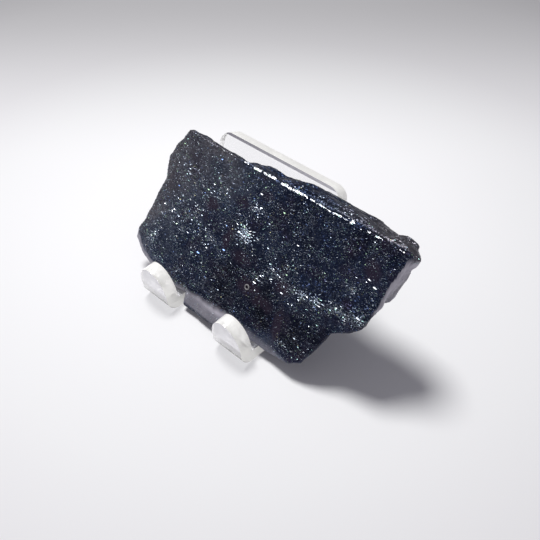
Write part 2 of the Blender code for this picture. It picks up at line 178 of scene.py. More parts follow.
# more of them, spread evenly over a field of the face: how many, the field's sides, and the share of each
# side that one step takes; their lengths and tints climb by a step and start again after a few
MORE_FLASHES = 14
FLASH_FIELD = ((-19.0, 26.0), (6.0, 31.5))
FLASH_STEP = (0.618, 0.755)
FLASH_LENGTHS = (0.35, 0.1, 3)
FLASH_TINTS = (0.6, 0.1, 4)
# plates that radiate on the bulge and on the crest: across, up, reach, how many
BURSTS = [
    (4.3, 20.7, 3.2, 44), (5.6, 19.8, 0.9, 5), (35.0, 18.3, 1.5, 12), (25.0, 17.2, 2.2, 14),
    (22.0, 16.2, 1.4, 8)]
# where along its reach a burst begins, how flat it is, and its plates' lengths, width and tints
BURST_START = 0.1
BURST_FLATNESS = 0.7
BURST_LENGTHS = (0.3, 0.5)
BURST_WIDTH = 0.1
BURST_TINT_STEP = 0.37
GOLDEN_TURN = 2.4
# about the way a plate faces that throws the lamp's light at the camera, and how far it stands off the stone
FLASH_FACING = (0.151, -0.273, 0.95)
FLASH_PROUD = 0.12
# the small round pit: across, up, radius; and its rim
RING_PIT = (8.9, 10.9, 0.5)
RING_THICK = 0.14
RING_PROUD = 0.22
# height and radius of the rise under the rim, and of the hollow within it
RING_RISE = (0.22, 0.22)
RING_HOLLOW = (0.3, 0.35)
# the smooth bevel under the front: a point on it and its outward direction
FOOT_BEVEL = ((0.0, 2.5, 0.0), (-0.01, -0.42, -1.0))

# the smooth rind on the foot: its highest point, where that is, how it falls away, where it ends, how ragged
# its upper edge is, how that fades, and its strength
RIND_TOP = 3.3
RIND_MIDDLE = 7.0
RIND_SLOPE = 0.1
RIND_END = (25.0, 3)
RIND_RAGGED = (0.35, 1.3)
RIND_EDGE = (-0.4, 1.3)
RIND_STRENGTH = 0.9
# it is thinner at the right, painted darker low down between the prongs as a painted contact shadow, and
# stops on the underside
RIND_THINNER = 0.6
RIND_THINNER_FROM = (8, 12)
RIND_PAINTED_SHADE = 0.5
RIND_PAINTED_SHADE_TOP = (1.9, 1.2)
RIND_PAINTED_SHADE_HALF = (8, 1)
RIND_UNDERSIDE = (-1.5, -0.6)
# the upper edge of the rim at the lower left, how it fades there, where it ends, and its strength
LOWER_LEFT = [(-26.5, 9.0), (-24.6, 6.6), (-22.0, 4.3), (-17.3, 2.9), (-11.0, 1.6)]
LOWER_LEFT_EDGE = (0.1, 1.0)
LOWER_LEFT_END = (-13, 2)
LOWER_LEFT_STRENGTH = 0.75
# the smooth joint at the right end: how far a face turns to the right, its foot, its top, how much fainter
# it is on the rear layer, and where it begins along the stand
FLANK_TURN = (0.3, 0.6)
FLANK_FOOT = (19.5, 22)
FLANK_TOP = (33.5, 1.6)
FLANK_FAINTER = 0.6
FLANK_REAR = (2.6, 4.6)
FLANK_FROM = (24, 30)
# the foot sags a little into the gap between the prongs: how deep, how far forward, half the gap, its top
SAG_DEEP = 2.2
SAG_FORWARD = 0.9
SAG_HALF = (7.0, 1.3)
SAG_TOP = (3.6, 2.6)

# the glint on the top edge: its knots, how far the stone faces forward and up, where it lies, its two ends,
# the waves that break it up, where they break it less, and how sharply
GLINT_KNOTS = (0.25, 0.9)
GLINT_FORWARD = (0.5, 0.75)
GLINT_UPWARD = (0.2, 0.4)
GLINT_DEPTH = (1.3, 0.3)
GLINT_HEIGHT = (31, 32)
GLINT_LEFT = (-9.5, -7)
GLINT_RIGHT = (38.5, 3)
GLINT_WAVES = [(0.6, 2.3), (0.9, 0.55)]
GLINT_LESS_BROKEN = 0.4
GLINT_LESS_FROM = (3, 7)
GLINT_LESS_TO = (34, 5)
GLINT_MORE_BROKEN = 0.1
GLINT_BREAK = (-0.1, 0.2)

# how grey the metal is painted: on the face up and to the left, a painted reflection of the sky, less at its
# foot, and on the top to the right; the least is at the top's left and on what looks backward; the last pair
# is where the face ends in depth
GREY_FACE = 0.62
GREY_FACE_SLANT = 1.2
GREY_FACE_SPAN = (12, 48)
GREY_LESS_AT_FOOT = 0.2
GREY_LEAST = 0.18
GREY_TOP = 0.62
GREY_TOP_SPAN = (5, 38)
GREY_INWARD = (0.4, 0.8)
GREY_DEPTH = (0.5, 1.4)
# the foot of the face, right of its middle, with fewer plates; and how far a face has to look forward
LOW_FACE_TOP = (17, 8)
LOW_FACE_FROM = (-6, 4)
LOW_FACE_SPARSER = 0.5
FRONT_TURN = (0.35, 0.75)

# hematite plates, drawn a little coarse so that they show at the photograph's size
PLATE_ACROSS = 0.22
PLATE_FINE = 0.13
PLATE_STRETCH = 1.9
PLATE_TILT = 0.7
CLUMP_ACROSS = 2.2
LOOSE_PLATE_THICKNESS = 0.18
# steel from dark to grey, whose grey end paints the sky's reflection on the face's upper left; the stain on
# it, the smooth rind, and the thin films on single plates
STEEL = [(0.0, "#0c0e16"), (0.2, "#171d32"), (0.5, "#27324c"), (0.75, "#464e61"), (1.0, "#716f76")]
STAIN = "#35283a"
RIND_DARK = "#9e9aa7"
RIND_PALE = "#dad6e0"
FILMS = [(0.94, "#a3c6c4"), (0.97, "#7f9ad6"), (0.98, "#a2bfa2"), (0.993, "#bfbc98")]

# how the easel is drawn: steps in each bend and rounding, and a tongue a hair thinner than the sheet, so that
# no faces coincide where the two join; then the polished edges and the dark line along the plate's top, which
# is painted shade
BEND_STEPS = 12
ROUND_STEPS = 32
TONGUE_SHEET = 2.9
POLISHED_EDGE = 0.3
DARK_LINE = 0.65
LIP_FACE = Vector((0, cos(LIP_LEAN), sin(LIP_LEAN)))
PLATE_FACE = Vector((0, cos(PLATE_LEAN), -sin(PLATE_LEAN)))
# the sheet's finishes: name, colour, clearness, roughness, clearness to the lamp, painted glow, painted
# colour at the right
FINISHES = [
    ("acrylic_polished_face", "#ffffff", 0.97, 0.0, 0.95, 0.0, None),
    # the lip edges, lip faces and plate edges carry a painted glow
    ("acrylic_lip_edge", "#fbfaf6", 0.55, 0.15, 0.72, 0.2, None),
    ("acrylic_lip_face", "#ecebee", 0.6, 0.2, 0.82, 0.17, None),
    # painted shade: the dark line under the plate's top edge, painted lighter toward the right
    ("acrylic_painted_dark_line", "#8a8791", 0.2, 0.2, 0.8, 0.0, "#d2d0d6"),
    ("acrylic_plate_edge", "#fbfaf6", 0.35, 0.3, 0.8, 0.15, None),
    # painted shade: grey outlines on the bevels, painted lighter toward the right
    ("acrylic_bevel_painted_shade", "#a9a7ae", 0.3, 0.2, 0.8, 0.0, "#efeef1")]
CLEAR, LIP_EDGE, LIP_FRONT, SHADE_LINE, PLATE_EDGE, BEVEL = range(len(FINISHES))
# how far a face looks along the stand, or across the sheet, where it counts as cut, as rear, or as a bevel
CUT_SIDEWAYS = 0.6
CUT_ACROSS = 0.35
REAR_SIDE = -0.9
BEVEL_TURN = (0.2, 0.98)
LIP_REACH = 0.6

# a painted pool of light on the paper: its brightest place, how its colour is painted darker over its reach,
# and how much darker it is painted toward the back
FLOOR_BRIGHTEST = (-14, 38, 0)
FLOOR_REACH = 300
BACK_SHADE_FROM = 50
BACK_SHADE_TO = 165
BACK_SHADE = 0.6
FLOOR_PAINTED_FALLOFF = [(0.0, "#f4f3f4"), (0.15, "#f1f1f1"), (0.25, "#eaeaea"), (0.34, "#e1e0e1"), (0.5, "#dddcdd"),
              (0.8, "#bdbbbd"), (1.0, "#aaa8aa")]
# the round lamp: the way to it, its distance, width and power
KEY_TOWARD = (-0.3, 0.02, 1.0)
KEY_DISTANCE = 450
KEY_SIZE = 145
KEY_WATTS = 1.93
# the floor's size in metres, and how far it lies below the stand in millimetres
FLOOR_SIZE = 2.0
FLOOR_BELOW = 0.02
# the light that a room's pale walls would bounce into the shadow on the paper
SHADOW_TINT = "#f5f0ff"
SHADOW_LIFT = 0.024
ROOM = [(0.0, "#58575e"), (1.0, "#8e8d94")]

# camera, fitted to the easel's edges in the photograph; millimetres in the stand's frame
CAMERA_AZIMUTH = radians(43.52)
CAMERA_ELEVATION = radians(42.78)
CAMERA_TARGET = (12.65, 11.33, 18.05)
CAMERA_DISTANCE = 150.0
CAMERA_LENS = 49.62
SENSOR = 36.0


def linear(code):
    """A six-digit sRGB hex colour as linear RGBA."""
    values = [int(code[place:place + 2], 16) / 255 for place in (1, 3, 5)]
    return (*[v / 12.92 if v <= 0.04045 else ((v + 0.055) / 1.055) ** 2.4 for v in values], 1.0)


def add(tree, kind, settings=None, **links):
    """Adds a node: settings are its properties, links its inputs, each a value or another node's output.

    An input is named by its label, or as i0, i1 and so on by its place.
    """
    node = tree.nodes.new(kind)
    for name, value in (settings or {}).items():
        setattr(node, name, value)
    for name, value in links.items():
        numbered = name[0] == "i" and name[1:].isdigit()
        socket = node.inputs[int(name[1:]) if numbered else name.replace("_", " ")]
        if isinstance(value, bpy.types.NodeSocket):
            tree.links.new(value, socket)
        else:
            socket.default_value = value
    return node


def numbers(tree, operation, *values, clamp=False):
    """A calculation on numbers, and its result."""
    links = {f"i{index}": value for index, value in enumerate(values)}
    return add(tree, "ShaderNodeMath", {"operation": operation, "use_clamp": clamp}, **links).outputs[0]


def vectors(tree, operation, *values):
    """A calculation on vectors, and its result."""
    links = {f"i{index}": value for index, value in enumerate(values)}
    return add(tree, "ShaderNodeVectorMath", {"operation": operation}, **links).outputs[0]


def scaled(tree, vector, factor):
    return add(tree, "ShaderNodeVectorMath", {"operation": "SCALE"}, i0=vector, Scale=factor).outputs[0]


def blend(tree, factor, first, second):
    """A colour between two."""
    return add(tree, "ShaderNodeMix", {"data_type": "RGBA"}, Factor=factor, i6=first, i7=second).outputs[2]


def ramp(tree, factor, stops, interpolation="LINEAR"):
    """Colours along a number, from pairs of place and hex colour."""
    node = add(tree, "ShaderNodeValToRGB", i0=factor)
    band = node.color_ramp
    band.interpolation = interpolation
    for element, (place, colour) in zip(band.elements, (stops[0], stops[-1])):
        element.position = place
        element.color = linear(colour)
    for place, colour in stops[1:-1]:
        band.elements.new(place).color = linear(colour)
    return node.outputs[0]


def clouds(tree, place, across, detail):
    """Soft noise whose features are about so many millimetres across."""
    made = add(tree, "ShaderNodeTexNoise", Vector=place, Scale=1 / (across * MM), Detail=detail)
    return made.outputs["Fac"]


def mark(tree, name):
    """A value written on the mesh, as the materials read it."""
    return add(tree, "ShaderNodeAttribute", {"attribute_name": name}).outputs["Fac"]


def new_material(name):
    made = bpy.data.materials.new(name)
    made.use_nodes = True
    made.node_tree.nodes.clear()
    return made, made.node_tree


def stand(point):
    """A point in millimetres from the stand's middle, lip front and floor, in the frame."""
    return STAND + Vector(point) * MM


def evaluated_copy(source, name):
    bpy.context.view_layer.update()
    made = bpy.data.meshes.new_from_object(source.evaluated_get(bpy.context.evaluated_depsgraph_get()))
    made.name = name
    return made


def new_piece(name, data, material=None):
    made = bpy.data.objects.new(name, data)
    bpy.context.scene.collection.objects.link(made)
    if material:
        data.materials.clear()
        data.materials.append(material)
    return made


def drop(*objects):
    for item in objects:
        bpy.data.objects.remove(item, do_unlink=True)


@contextmanager
def edited(mesh):
    """The mesh's vertices and faces to work on, written back to it at the end."""
    bm = bmesh.new()
    bm.from_mesh(mesh)
    yield bm
    bm.to_mesh(mesh)
    bm.free()


def outline_mesh(name, outline, depth=0.0, centre=0.0):
    """A closed outline, filled, and extruded to the given depth about centre."""
    curve = bpy.data.curves.new(name, "CURVE")
    curve.dimensions = "2D"
    curve.fill_mode = "BOTH"
    curve.extrude = depth / 2
    spline = curve.splines.new("POLY")
    spline.points.add(len(outline) - 1)
    for point, (across, up) in zip(spline.points, outline):
        point.co = (across, up, 0.0, 1.0)
    spline.use_cyclic_u = True
    drawn = new_piece(name, curve)
    mesh = evaluated_copy(drawn, name)
    drop(drawn)
    mesh.transform(Matrix.Translation((0, 0, centre)))
    with edited(mesh) as bm:
        bmesh.ops.remove_doubles(bm, verts=bm.verts, dist=1e-4)
        bmesh.ops.recalc_face_normals(bm, faces=bm.faces)
    return mesh


def slab_frame():
    """From the slab's frame in millimetres to the model's frame. It mirrors."""
    up = Vector((0, sin(SLAB_LEAN), cos(SLAB_LEAN)))
    depth = Vector((0, cos(SLAB_LEAN), -sin(SLAB_LEAN)))
    turn = Matrix((Vector((1, 0, 0)), up, depth)).transposed().to_4x4()
    return Matrix.Translation(stand(SLAB_FOOT)) @ turn @ Matrix.Scale(MM, 4)


def cleave(mesh, point, outward, breaks=True):
    """Divides the faces along a plane. If it breaks, what lies beyond goes and the cut is closed."""
    with edited(mesh) as bm:
        everything = bm.verts[:] + bm.edges[:] + bm.faces[:]
        cut = bmesh.ops.bisect_plane(bm, geom=everything, plane_co=Vector(point), plane_no=Vector(outward),
                                     clear_outer=breaks)
        if breaks:
            rim = [item for item in cut["geom_cut"] if isinstance(item, bmesh.types.BMEdge)]
            bmesh.ops.edgeloop_fill(bm, edges=rim)
            bmesh.ops.recalc_face_normals(bm, faces=bm.faces)


def bump(distance, radius):
    return exp(-(distance / radius) ** 2)


def waves(place, sizes):
    """A rise and fall of smooth noise, from pairs of height and length."""
    return sum(height * noise.noise(place / length) for height, length in sizes)


def height_on(line, across):
    """How high a broken line runs at a place along the stand."""
    for (x0, y0), (x1, y1) in zip(line, line[1:]):
        if x0 <= across <= x1:
            return y0 + (y1 - y0) * (across - x0) / (x1 - x0)
    return line[-1][1]


def crest_relief(across, up):
    """A crest that arches across the lower right: full height above its line, sloping away below it."""
    if across < CREST[0][0]:
        return 0.0
    height = CREST_HEIGHT * min(1.0, (across - CREST[0][0]) / CREST_START)
    below = height_on(CREST, across) - up
    if below < 0:
        return height * bump(below, CREST_BACK)
    return height * (1 - CREST_DROP * min(1.0, below / CREST_SLOPE))


def front_relief(across, up):
    """Height of the front face above its plane, in millimetres."""
    height = waves(Vector((across, up, 0)), FRONT_WAVES) + crest_relief(across, up)
    height += BULGE[3] * bump(hypot(across - BULGE[0], up - BULGE[1]), BULGE[2])
    for x, y, radius, depth in FRONT_CHIPS:
        height -= depth * bump(hypot(across - x, up - y), radius)
    height -= FOOT_ROUNDING * bump(max(0.0, up - FOOT_EDGE), FOOT_RADIUS)
    height -= LEFT_ROUNDING * bump(max(0.0, across - LEFT_END), LEFT_RADIUS)
    return height


def back_relief(across, up):
    """Height of the back above its plane: rougher than the front, with broad steps between layers."""
    place = Vector((across, up, REAR_LAYER[1]))
    wander = STEP_WANDER[0] * noise.noise(place / STEP_WANDER[1])
    steps = STEP_HEIGHT * sin(STEP_TURN[0] * across + STEP_TURN[1] * up + wander)
    return steps + waves(place, BACK_WAVES) - BACK_DROP


def edge_relief(across, up, depth):
    """The broken sides show the stone's layers as faint ledges parallel to the faces."""
    waver = LAYER_WAVER[0] * noise.noise(Vector((across, up, 0)) / LAYER_WAVER[1])
    ledges = LAYER_HEIGHT * sin(2 * pi * (depth + waver) / LAYER_SPACING)
    return ledges + waves(Vector((across, up, 2 * depth)), SIDE_WAVES)


def slab_block():
    """The two layers joined, with the facets broken off, in the slab's frame in millimetres."""
    layers = []
    for name, outline, (front, back) in (("front_layer", FRONT_OUTLINE, FRONT_LAYER),
                                         ("rear_layer", REAR_OUTLINE, REAR_LAYER)):
        layers.append(new_piece(name, outline_mesh(name, outline, back - front, (front + back) / 2)))
    join = layers[0].modifiers.new("join", "BOOLEAN")
    join.operation = "UNION"
    join.object = layers[1]
    block = evaluated_copy(layers[0], "slab_block")
    drop(*layers)
    for point, outward in REAR_FACETS:
        cleave(block, point, outward)
    down = Vector((0, -cos(SLAB_LEAN), sin(SLAB_LEAN)))
    cleave(block, (0, 0, 0), down)
    cleave(block, *FOOT_BEVEL)
    return block


def slab_mesh():
    """The block with an even fine mesh, and where each of its vertices goes when the relief is put on."""
    draft = new_piece("slab_draft", slab_block())
    fine = draft.modifiers.new("even_mesh", "REMESH")
    fine.mode = "VOXEL"
    fine.voxel_size = VOXEL
    soften = draft.modifiers.new("soften", "SMOOTH")
    soften.iterations = 2
    surface = evaluated_copy(draft, "hematite_surface")
    drop(draft)
    places = []
    for vert in surface.vertices:
        across, up, depth = vert.co
        near_front = max(0.0, 1 - depth / MIDDLE)
        near_back = max(0.0, (depth - MIDDLE) / (REAR_LAYER[1] - MIDDLE))
        shift = near_back * back_relief(across, up) - near_front * front_relief(across, up)
        outward = Vector((vert.normal.x, vert.normal.y, 0)) * edge_relief(across, up, depth)
        pushed = Vector((min(0.0, vert.normal.x), 0, 0)) * REGAINED
        pit = Vector((0, 0, -near_front * sunk_rim(across, up)))
        sag = Vector((0, -SAG_DEEP, -SAG_FORWARD)) * ends_at(abs(across), *SAG_HALF) * ends_at(up, *SAG_TOP)
        places.append(vert.co + outward + pushed + pit + sag + Vector((0, 0, shift)))
    return surface, places


def smooth_step(value, low, high):
    part = min(1.0, max(0.0, (value - low) / (high - low)))
    return part * part * (3 - 2 * part)


def ends_at(value, end, fade):
    """1 up to a fade before the end, and 0 beyond the end."""
    return smooth_step(end - value, 0, fade)


def matt_patch(across, up):
    """How far a place lies in one of the dull patches, where the plates have broken off."""
    height, length, weight = MATT_WOBBLE
    wobble = height * noise.noise(Vector((across, up, 4)) / length)
    inside = 0.0
    for x, y, wide, tall, strength in MATT_PATCHES:
        distance = hypot((across - x) / wide, (up - y) / tall) + wobble * weight
        inside = max(inside, MATT_DEEPEST * strength * (1 - smooth_step(distance, *MATT_FADE)))
    return inside


def bright_field(across, up):
    """Where the plates lean to the light: round the bulge, along the crest and in a few loose fields."""
    field = 0.0
    for x, y, wide, tall, strength in BRIGHT_FIELDS:
        field = max(field, strength * bump(hypot((across - x) / wide, (up - y) / tall), 1.0))
    if across > CREST[0][0]:
        shine, drop, radius = CREST_BRIGHT
        field = max(field, shine * bump(height_on(CREST, across) - up - drop, radius))
    return field


def worn_skin(across, up, depth, inward):
    """How grey the metal is painted: most at the face's left, a painted reflection of the sky, and at the
    top's right; little behind.
    """
    face = GREY_FACE * smooth_step(up - GREY_FACE_SLANT * across, *GREY_FACE_SPAN)
    face -= GREY_LESS_AT_FOOT * low_face(across, up)
    top = GREY_LEAST + GREY_TOP * smooth_step(across, *GREY_TOP_SPAN)
    top += (GREY_LEAST - top) * smooth_step(inward, *GREY_INWARD)
    return face + (top - face) * smooth_step(depth, *GREY_DEPTH)


def low_face(across, up):
    """The foot of the face, right of its middle, where the stone is darkest."""
    return ends_at(up, *LOW_FACE_TOP) * smooth_step(across, *LOW_FACE_FROM)


def foot_rind(across, up):
    """The smooth joint along the foot: between the lips it climbs the face, and it rims the lower left."""
    height, length = RIND_RAGGED
    ragged = height * noise.noise(Vector((across, up, 9)) / length)
    climbs = RIND_TOP - RIND_SLOPE * abs(across - RIND_MIDDLE)
    foot = smooth_step(climbs + ragged - up, *RIND_EDGE) * ends_at(across, *RIND_END)
    foot *= (1 - RIND_THINNER * smooth_step(across, *RIND_THINNER_FROM)) * smooth_step(up, *RIND_UNDERSIDE)
    # painted shade: the band gives way to dark stone low down between the prongs, where the contact shadow
    # falls
    foot *= 1 - RIND_PAINTED_SHADE * ends_at(up, *RIND_PAINTED_SHADE_TOP) * ends_at(abs(across), *RIND_PAINTED_SHADE_HALF)
    rim = smooth_step(height_on(LOWER_LEFT, across) + ragged - up, *LOWER_LEFT_EDGE)
    rim *= ends_at(across, *LOWER_LEFT_END)
    return RIND_STRENGTH * max(foot, LOWER_LEFT_STRENGTH * rim)


def right_end(across, up, depth, sideways):
    """The smooth joint at the slab's right end, fainter on the rear layer."""
    flank = smooth_step(sideways, *FLANK_TURN) * smooth_step(up, *FLANK_FOOT) * ends_at(up, *FLANK_TOP)
    flank *= 1 - FLANK_FAINTER * smooth_step(depth, *FLANK_REAR)
    return flank * smooth_step(across, *FLANK_FROM)


def top_glint(across, up, depth, normal):
    """The edge between the face and the top, freshly broken and ragged, where it faces the lamp."""
    height, length = GLINT_KNOTS
    knots = height * noise.noise(Vector((across, 8, 2)) / length)
    edge = smooth_step(knots - normal.z, *GLINT_FORWARD) * smooth_step(knots + normal.y, *GLINT_UPWARD)
    edge *= ends_at(depth, *GLINT_DEPTH) * smooth_step(up, *GLINT_HEIGHT)
    run = smooth_step(across, *GLINT_LEFT) * ends_at(across, *GLINT_RIGHT)
    ragged = waves(Vector((across, 3, 1)), GLINT_WAVES)
    less = GLINT_LESS_BROKEN * smooth_step(across, *GLINT_LESS_FROM) * ends_at(across, *GLINT_LESS_TO)
    ragged += less - GLINT_MORE_BROKEN
    return run * edge * smooth_step(ragged, *GLINT_BREAK)


def sunk_rim(across, up):
    """The small round pit with its raised rim, in the dull patch at the lower middle."""
    distance = hypot(across - RING_PIT[0], up - RING_PIT[1])
    rise, rise_radius = RING_RISE
    hollow, hollow_radius = RING_HOLLOW
    return rise * bump(distance - RING_PIT[2], rise_radius) - hollow * bump(distance, hollow_radius)


def ring_of_pit():
    """The pale raised rim of the small round pit."""
    across, up, radius = RING_PIT
    bpy.ops.mesh.primitive_torus_add(major_radius=radius, minor_radius=RING_THICK, major_segments=28,
                                     minor_segments=10)
    made = bpy.context.object
    made.name = "rim_of_pit"
    made.data.transform(Matrix.Translation((across, up, -front_relief(across, up) - RING_PROUD)))
    made.data.transform(slab_frame())
    made.data.flip_normals()
    made.data.shade_smooth()
    made.data.materials.append(pale_rim())
    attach(made, BODY)


def pale_rim():
    """Fine quartz on the rim of the pit: pale grey, a little rough, not metal."""
    made, tree = new_material("quartz_rim")
    place = add(tree, "ShaderNodeTexCoord").outputs["Object"]
    grey = blend(tree, clouds(tree, place, 0.3, 3.0), linear("#6b686c"), linear("#a8a5a7"))
    shader = add(tree, "ShaderNodeBsdfPrincipled", Base_Color=grey, Roughness=0.5)
    add(tree, "ShaderNodeOutputMaterial", Surface=shader.outputs[0])
    return made


def store(mesh, name, values):
    made = mesh.attributes.new(name, "FLOAT", "POINT")
    made.data.foreach_set("value", values)


def mark_surface(surface):
    """Writes what the materials and plates read: where it is dull, bright, smooth, painted greyer, or glints.
    """
    surface.update()
    marks = {"matt": [], "bright": [], "rind": [], "front": [], "glint": [], "worn": []}
    for vert in surface.vertices:
        across, up, depth = vert.co
        inward, sideways = vert.normal.z, vert.normal.x
        front = smooth_step(-inward, *FRONT_TURN)
        marks["rind"].append(max(right_end(across, up, depth, sideways), foot_rind(across, up)))
        marks["matt"].append(matt_patch(across, up) * front)
        marks["bright"].append(bright_field(across, up) * front)
        marks["front"].append(front * (1 - LOW_FACE_SPARSER * low_face(across, up)))
        marks["worn"].append(worn_skin(across, up, depth, inward))
        marks["glint"].append(top_glint(across, up, depth, vert.normal))
    for name, values in marks.items():
        store(surface, name, values)


def leaning_cells(tree, place, across):
    """The lean of a mass of plates: one random direction for each cell of a pattern."""
    cells = add(tree, "ShaderNodeTexVoronoi", Vector=place, Scale=1 / (across * MM), Randomness=1.0)
    return vectors(tree, "SUBTRACT", cells.outputs["Color"], (0.5, 0.5, 0.5))


def micaceous_hematite():
    """Specular hematite: a mass of thin iron-oxide plates, broken, not polished.

    Steel-grey metal whose plates each face their own way, so it is blue-black with points of light. Dull
    patches have lost their plates and look purple-brown. The rind is a smooth weathered joint, matt and
    lilac-grey.
    """
    made, tree = new_material("hematite_micaceous")
    place = add(tree, "ShaderNodeTexCoord").outputs["Object"]
    matt, rind, worn = [mark(tree, name) for name in ("matt", "rind", "worn")]

    drawn = add(tree, "ShaderNodeMapping", Vector=place, Scale=(1 / PLATE_STRETCH, 1, 1)).outputs[0]
    coarse, fine = [leaning_cells(tree, drawn, across) for across in (PLATE_ACROSS, PLATE_FINE)]
    both = vectors(tree, "MULTIPLY_ADD", fine, (0.8, 0.8, 0.8), coarse)
    keep = numbers(tree, "MULTIPLY_ADD", matt, -0.5, 1.0, clamp=True)
    turned = scaled(tree, both, numbers(tree, "MULTIPLY", keep, PLATE_TILT))
    tipped = vectors(tree, "ADD", add(tree, "ShaderNodeNewGeometry").outputs["Normal"], turned)
    plate_normal = vectors(tree, "NORMALIZE", tipped)

    # the steel's tone: cloudy, and greyer where the sky's reflection is painted on
    steel = ramp(tree, numbers(tree, "MULTIPLY_ADD", clouds(tree, place, 7, 3.0), 0.7, worn), STEEL)
    stains = add(tree, "ShaderNodeMapRange", Value=clouds(tree, place, 4, 4.0), i1=0.5, i2=0.72, i3=0.0,
                 i4=0.55).outputs[0]
    dull = blend(tree, numbers(tree, "MAXIMUM", matt, stains), steel, linear(STAIN))
    metal = numbers(tree, "MULTIPLY_ADD", matt, -0.3, 0.9)
    rough = numbers(tree, "MULTIPLY_ADD", matt, 0.2, 0.36)
    plates = add(tree, "ShaderNodeBsdfPrincipled", Base_Color=dull, Metallic=metal, Roughness=rough,
                 Normal=plate_normal)

    grain = clouds(tree, place, 0.6, 4.0)
    pits = add(tree, "ShaderNodeBump", Height=grain, Distance=0.05 * MM, Strength=0.5).outputs[0]
    grey = blend(tree, clouds(tree, place, 3, 3.0), linear(RIND_DARK), linear(RIND_PALE))
    skin = add(tree, "ShaderNodeBsdfPrincipled", Base_Color=grey, Roughness=0.7, Normal=pits)
    mixed = add(tree, "ShaderNodeMixShader", i0=rind, i1=plates.outputs[0], i2=skin.outputs[0])
    add(tree, "ShaderNodeOutputMaterial", Surface=mixed.outputs[0])
    return made


def loose_plates_material(name, roughness, steel, middling, bright):
    """Single plates of specular hematite: flat, mirror-bright cleavage faces, steel to blue-white.

    A few show a thin film's colour, yellow-green or blue. The smoother the plates, the sharper they flash.
    """
    made, tree = new_material(name)
    stops = [(0.0, steel), (0.55, middling), (0.85, bright)] + FILMS
    tints = ramp(tree, mark(tree, "tint"), stops, "CONSTANT")
    shader = add(tree, "ShaderNodeBsdfPrincipled", Base_Color=tints, Metallic=1.0, Roughness=roughness)
    add(tree, "ShaderNodeOutputMaterial", Surface=shader.outputs[0])
    return made


PLATE_INPUTS = [
    ("Surface", "Geometry"), ("Where", "String"), ("Everywhere", "Float"), ("Density", "Float"),
    ("Smallest", "Float"), ("Largest", "Float"), ("Stretch", "Float"), ("Corners", "Int"),
    ("Lean", "Vector"), ("Spread", "Float"), ("Seed", "Int"), ("Material", "Material")]


def written(tree, name):
    """A value written on the mesh, as the scatter tree reads it."""
    return add(tree, "GeometryNodeInputNamedAttribute", {"data_type": "FLOAT"}, Name=name).outputs[0]


def random_number(tree, seed, low=0.0, high=1.0):
    made = add(tree, "FunctionNodeRandomValue", {"data_type": "FLOAT"}, i2=low, i3=high, Seed=seed)
    return made.outputs[1]


def random_vector(tree, seed, low, high):
    made = add(tree, "FunctionNodeRandomValue", {"data_type": "FLOAT_VECTOR"}, i0=low, i1=high, Seed=seed)
    return made.outputs[0]


def plates_tree():
    """Scatters small flat plates on a surface, half sunk, each leaning its own way.

    They stand in clumps, and few or none where the surface is dull or smooth.
    """
    tree = bpy.data.node_groups.new("scatter_plates", "GeometryNodeTree")
    for name, kind in PLATE_INPUTS:
        tree.interface.new_socket(name, in_out="INPUT", socket_type="NodeSocket" + kind)
    tree.interface.new_socket("Plates", in_out="OUTPUT", socket_type="NodeSocketGeometry")
    asked = add(tree, "NodeGroupInput").outputs
    seed = asked["Seed"]

    where, rind, matt = [written(tree, name) for name in (asked["Where"], "rind", "matt")]
    share = numbers(tree, "ADD", where, asked["Everywhere"])
    clumps = add(tree, "ShaderNodeTexNoise", Scale=1 / (CLUMP_ACROSS * MM), Detail=2.0).outputs["Fac"]
    clumps = add(tree, "ShaderNodeMapRange", Value=clumps, i1=0.32, i2=0.68, i3=0.1, i4=1.9).outputs[0]
    share = numbers(tree, "MULTIPLY", share, clumps)
    held = numbers(tree, "SUBTRACT", 1.0, numbers(tree, "MULTIPLY_ADD", matt, 0.6, rind), clamp=True)
    share = numbers(tree, "MULTIPLY", share, held)
    density = numbers(tree, "MULTIPLY", share, asked["Density"])
    points = add(tree, "GeometryNodeDistributePointsOnFaces", Mesh=asked["Surface"], Density=density,
                 Seed=seed)
    tinted = add(tree, "GeometryNodeStoreNamedAttribute", {"data_type": "FLOAT", "domain": "POINT"},
                 Geometry=points.outputs["Points"], Name="tint", Value=random_number(tree, seed))

    stray = scaled(tree, random_vector(tree, seed, (-1, -1, -1), (1, 1, 1)), asked["Spread"])
    facing = vectors(tree, "ADD", points.outputs["Normal"], asked["Lean"])
    facing = vectors(tree, "ADD", facing, stray)
    turn = add(tree, "FunctionNodeAlignRotationToVector", {"axis": "Z"}, Vector=facing).outputs[0]
    turn = add(tree, "FunctionNodeAlignRotationToVector", {"axis": "X", "pivot_axis": "Z"}, Rotation=turn,
               Vector=(1, 0, 0)).outputs[0]

    size = random_number(tree, seed, asked["Smallest"], asked["Largest"])
    slim = random_vector(tree, seed, (0.8, 0.5, 0.8), (1.2, 1.0, 1.2))
    long = add(tree, "ShaderNodeCombineXYZ", X=asked["Stretch"], Y=1.0, Z=1.0).outputs[0]
    scale = scaled(tree, vectors(tree, "MULTIPLY", slim, long), size)
    plate = add(tree, "GeometryNodeMeshCylinder", {"fill_type": "NGON"}, Vertices=asked["Corners"],
                Radius=0.5, Depth=LOOSE_PLATE_THICKNESS)
    placed = add(tree, "GeometryNodeInstanceOnPoints", Points=tinted.outputs[0],
                 Instance=plate.outputs["Mesh"], Rotation=turn, Scale=scale)
    real = add(tree, "GeometryNodeRealizeInstances", Geometry=placed.outputs[0])
    dressed = add(tree, "GeometryNodeSetMaterial", Geometry=real.outputs[0], Material=asked["Material"])
    add(tree, "NodeGroupOutput", i0=dressed.outputs[0])
    return tree


